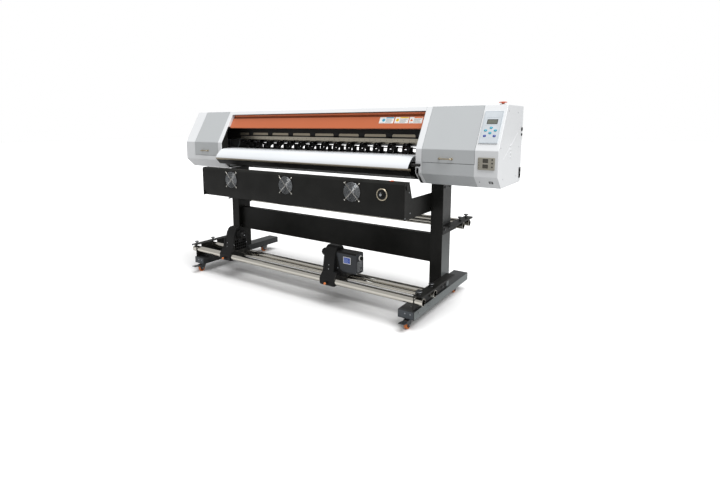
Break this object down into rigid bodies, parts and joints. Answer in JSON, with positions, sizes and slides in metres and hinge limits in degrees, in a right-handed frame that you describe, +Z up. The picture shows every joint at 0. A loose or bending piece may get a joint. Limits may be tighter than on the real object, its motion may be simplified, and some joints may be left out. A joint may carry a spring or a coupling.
{
  "type": "wide format roll printer",
  "caption": "Wide-format roll-fed printer with two end housings, bridge, dryer, feed tubes and powered take-up on a wheeled stand.",
  "frame": {"origin": "on the floor under the middle of the machine's overall box", "axes": "+X along the machine to the side with the controls, +Y from the operator to the back, +Z up"},
  "size_m": [2.6, 0.892, 1.26],
  "materials": {
    "black_powder_coat": "satin textured powder coat",
    "white_paint": "smooth semi-gloss paint",
    "grey_paint": "smooth semi-gloss paint",
    "orange_paint": "smooth semi-gloss paint",
    "bright_steel": "polished, lightly brushed along its length",
    "beam_aluminium": "extruded and anodised",
    "zinc_steel": "zinc plated pressed steel",
    "orange_tread": "moulded polyurethane tread",
    "black_plastic": "fine grained moulded plastic",
    "motor_box_grey": "grained moulded plastic",
    "rocker_orange": "glossy translucent plastic",
    "panel_film": "printed film on a plastic plate",
    "key_cyan": "soft moulded key",
    "key_blue": "soft moulded key",
    "controller_grey": "grained moulded plastic",
    "stop_red": "glossy moulded plastic",
    "roller_rubber": "ground rubber sleeve"
  },
  "bodies": {
    "machine": {"feet": "black_powder_coat", "columns": "black_powder_coat", "cross_beam": "black_powder_coat", "roll_brackets": "black_powder_coat", "media_tubes": "bright_steel", "stand_fasteners": "black_powder_coat", "dryer_case": "black_powder_coat", "dryer_arms": "black_powder_coat", "dryer_guards": "bright_steel", "left_housing": "white_paint", "right_housing": "white_paint", "right_lower_cover": "grey_paint", "control_panel": "panel_film", "temperature_controller": "controller_grey", "power_inlets": "black_plastic", "top_cover": "white_paint", "print_beam": "beam_aluminium", "cap_station": "black_plastic", "chassis_beam": "black_powder_coat", "platen": "white_paint", "front_guide": "white_paint", "lower_guide": "black_powder_coat", "rear_guide": "black_powder_coat"},
    "left_door": {"left_door": "grey_paint"},
    "right_door": {"right_door": "grey_paint"},
    "front_hood": {"front_hood": "orange_paint"},
    "carriage": {"carriage": "black_plastic"},
    "feed_roller": {"feed_roller": "bright_steel"},
    "pinch_arms": {"pinch_arms": "black_plastic"},
    "pinch_rollers": {"pinch_rollers": "roller_rubber"},
    "pinch_lever": {"pinch_lever": "black_plastic"},
    "emergency_stop": {"emergency_stop": "stop_red"},
    "dryer_dial": {"dryer_dial": "black_plastic"},
    "dryer_switch": {"dryer_switch": "rocker_orange"},
    "takeup_left_stand": {"takeup_left_stand": "black_plastic"},
    "takeup_left_chuck": {"takeup_left_chuck": "black_plastic"},
    "takeup_right_stand": {"takeup_right_stand": "black_plastic", "takeup_motor_box": "motor_box_grey"},
    "takeup_right_chuck": {"takeup_right_chuck": "black_plastic"},
    "takeup_switch": {"takeup_switch": "black_plastic"},
    "dryer_fan_1": {"dryer_fan_1": "black_plastic"},
    "dryer_fan_2": {"dryer_fan_2": "black_plastic"},
    "dryer_fan_3": {"dryer_fan_3": "black_plastic"},
    "panel_key_1": {"panel_key_1": "key_cyan"},
    "panel_key_2": {"panel_key_2": "key_cyan"},
    "panel_key_3": {"panel_key_3": "key_cyan"},
    "panel_key_4": {"panel_key_4": "key_cyan"},
    "panel_key_5": {"panel_key_5": "key_blue"},
    "panel_key_6": {"panel_key_6": "key_blue"},
    "caster_fork_fl": {"caster_fork_fl": "zinc_steel"},
    "caster_wheel_fl": {"caster_wheel_fl": "orange_tread"},
    "caster_fork_fr": {"caster_fork_fr": "zinc_steel"},
    "caster_wheel_fr": {"caster_wheel_fr": "orange_tread"},
    "caster_fork_rl": {"caster_fork_rl": "zinc_steel"},
    "caster_wheel_rl": {"caster_wheel_rl": "orange_tread"},
    "caster_fork_rr": {"caster_fork_rr": "zinc_steel"},
    "caster_wheel_rr": {"caster_wheel_rr": "orange_tread"},
    "caster_pedal_fl": {"caster_pedal_fl": "zinc_steel"},
    "caster_pedal_fr": {"caster_pedal_fr": "zinc_steel"}
  },
  "joints": [
    {"name": "left_door_hinge", "type": "hinge", "parent": "machine", "child": "left_door", "pos_m": [-1.042, -0.0194, 1.2392], "axis": [-1, 0, 0], "range_deg": [0, 95]},
    {"name": "right_door_hinge", "type": "hinge", "parent": "machine", "child": "right_door", "pos_m": [1.02, -0.0194, 1.2392], "axis": [-1, 0, 0], "range_deg": [0, 95]},
    {"name": "front_hood_hinge", "type": "hinge", "parent": "machine", "child": "front_hood", "pos_m": [-0.017, -0.009, 1.214], "axis": [-1, 0, 0], "range_deg": [0, 50]},
    {"name": "carriage_slide", "type": "slide", "parent": "machine", "child": "carriage", "axis": [-1, 0, 0], "range_m": [0, 1.96]},
    {"name": "feed_roller_spin", "type": "hinge", "parent": "machine", "child": "feed_roller", "pos_m": [-0.017, 0.028, 0.937], "axis": [1, 0, 0], "continuous": true},
    {"name": "pinch_lever_turn", "type": "hinge", "parent": "machine", "child": "pinch_lever", "pos_m": [0.817, -0.108, 0.884], "axis": [1, 0, 0], "range_deg": [0, 30]},
    {"name": "pinch_lift", "type": "hinge", "parent": "machine", "child": "pinch_arms", "pos_m": [-0.017, 0.07, 1.002], "axis": [-1, 0, 0], "range_deg": [0, 8]},
    {"name": "pinch_roller_spin", "type": "hinge", "parent": "pinch_arms", "child": "pinch_rollers", "pos_m": [-0.017, 0.028, 0.9645], "axis": [1, 0, 0], "continuous": true},
    {"name": "panel_key_1_press", "type": "slide", "parent": "machine", "child": "panel_key_1", "axis": [0, 0.8621, -0.5067], "range_m": [0, 0.0012], "stiffness_N_per_m": 300, "springref_m": -0.0008},
    {"name": "panel_key_2_press", "type": "slide", "parent": "machine", "child": "panel_key_2", "axis": [0, 0.8621, -0.5067], "range_m": [0, 0.0012], "stiffness_N_per_m": 300, "springref_m": -0.0008},
    {"name": "panel_key_3_press", "type": "slide", "parent": "machine", "child": "panel_key_3", "axis": [0, 0.8621, -0.5067], "range_m": [0, 0.0012], "stiffness_N_per_m": 300, "springref_m": -0.0008},
    {"name": "panel_key_4_press", "type": "slide", "parent": "machine", "child": "panel_key_4", "axis": [0, 0.8621, -0.5067], "range_m": [0, 0.0012], "stiffness_N_per_m": 300, "springref_m": -0.0008},
    {"name": "panel_key_5_press", "type": "slide", "parent": "machine", "child": "panel_key_5", "axis": [0, 0.8621, -0.5067], "range_m": [0, 0.0012], "stiffness_N_per_m": 300, "springref_m": -0.0008},
    {"name": "panel_key_6_press", "type": "slide", "parent": "machine", "child": "panel_key_6", "axis": [0, 0.8621, -0.5067], "range_m": [0, 0.0012], "stiffness_N_per_m": 300, "springref_m": -0.0008},
    {"name": "emergency_stop_press", "type": "slide", "parent": "machine", "child": "emergency_stop", "axis": [0, 0, -1], "range_m": [0, 0.005], "stiffness_N_per_m": 600, "springref_m": -0.004},
    {"name": "dryer_fan_1_spin", "type": "hinge", "parent": "machine", "child": "dryer_fan_1", "pos_m": [-0.537, -0.332, 0.743], "axis": [0, -1, 0], "continuous": true},
    {"name": "dryer_fan_2_spin", "type": "hinge", "parent": "machine", "child": "dryer_fan_2", "pos_m": [-0.0125, -0.332, 0.743], "axis": [0, -1, 0], "continuous": true},
    {"name": "dryer_fan_3_spin", "type": "hinge", "parent": "machine", "child": "dryer_fan_3", "pos_m": [0.512, -0.332, 0.743], "axis": [0, -1, 0], "continuous": true},
    {"name": "dryer_dial_turn", "type": "hinge", "parent": "machine", "child": "dryer_dial", "pos_m": [0.717, -0.357, 0.744], "axis": [0, -1, 0], "range_deg": [-135, 135]},
    {"name": "dryer_switch_rock", "type": "hinge", "parent": "machine", "child": "dryer_switch", "pos_m": [0.762, -0.323, 0.817], "axis": [1, 0, 0], "range_deg": [-5, 5]},
    {"name": "caster_fl_swivel", "type": "hinge", "parent": "machine", "child": "caster_fork_fl", "pos_m": [-0.898, -0.352, 0.06], "axis": [0, 0, 1], "continuous": true},
    {"name": "caster_fl_roll", "type": "hinge", "parent": "caster_fork_fl", "child": "caster_wheel_fl", "pos_m": [-0.898, -0.372, 0.025], "axis": [1, 0, 0], "continuous": true},
    {"name": "caster_fr_swivel", "type": "hinge", "parent": "machine", "child": "caster_fork_fr", "pos_m": [0.898, -0.352, 0.06], "axis": [0, 0, 1], "continuous": true},
    {"name": "caster_fr_roll", "type": "hinge", "parent": "caster_fork_fr", "child": "caster_wheel_fr", "pos_m": [0.898, -0.372, 0.025], "axis": [1, 0, 0], "continuous": true},
    {"name": "caster_rl_swivel", "type": "hinge", "parent": "machine", "child": "caster_fork_rl", "pos_m": [-0.898, 0.334, 0.06], "axis": [0, 0, 1], "continuous": true},
    {"name": "caster_rl_roll", "type": "hinge", "parent": "caster_fork_rl", "child": "caster_wheel_rl", "pos_m": [-0.898, 0.314, 0.025], "axis": [1, 0, 0], "continuous": true},
    {"name": "caster_rr_swivel", "type": "hinge", "parent": "machine", "child": "caster_fork_rr", "pos_m": [0.898, 0.334, 0.06], "axis": [0, 0, 1], "continuous": true},
    {"name": "caster_rr_roll", "type": "hinge", "parent": "caster_fork_rr", "child": "caster_wheel_rr", "pos_m": [0.898, 0.314, 0.025], "axis": [1, 0, 0], "continuous": true},
    {"name": "caster_fl_brake", "type": "hinge", "parent": "caster_fork_fl", "child": "caster_pedal_fl", "pos_m": [-0.898, -0.394, 0.048], "axis": [1, 0, 0], "range_deg": [0, 12]},
    {"name": "caster_fr_brake", "type": "hinge", "parent": "caster_fork_fr", "child": "caster_pedal_fr", "pos_m": [0.898, -0.394, 0.048], "axis": [1, 0, 0], "range_deg": [0, 12]},
    {"name": "takeup_left_slide", "type": "slide", "parent": "machine", "child": "takeup_left_stand", "axis": [1, 0, 0], "range_m": [-0.27, 0.35]},
    {"name": "takeup_right_slide", "type": "slide", "parent": "machine", "child": "takeup_right_stand", "axis": [1, 0, 0], "range_m": [-0.25, 0.48]},
    {"name": "takeup_left_spin", "type": "hinge", "parent": "takeup_left_stand", "child": "takeup_left_chuck", "pos_m": [-0.549, -0.2785, 0.322], "axis": [1, 0, 0], "continuous": true},
    {"name": "takeup_right_spin", "type": "hinge", "parent": "takeup_right_stand", "child": "takeup_right_chuck", "pos_m": [0.287, -0.2785, 0.322], "axis": [1, 0, 0], "continuous": true},
    {"name": "takeup_switch_turn", "type": "hinge", "parent": "takeup_right_stand", "child": "takeup_switch", "pos_m": [0.52, -0.2725, 0.319], "axis": [1, 0, 0], "range_deg": [-45, 45]}
  ],
  "couplings": [
    {"joint": "pinch_lift", "follows": "pinch_lever_turn", "ratio": 0.26667},
    {"joint": "pinch_roller_spin", "follows": "feed_roller_spin", "ratio": -1.25}
  ]
}
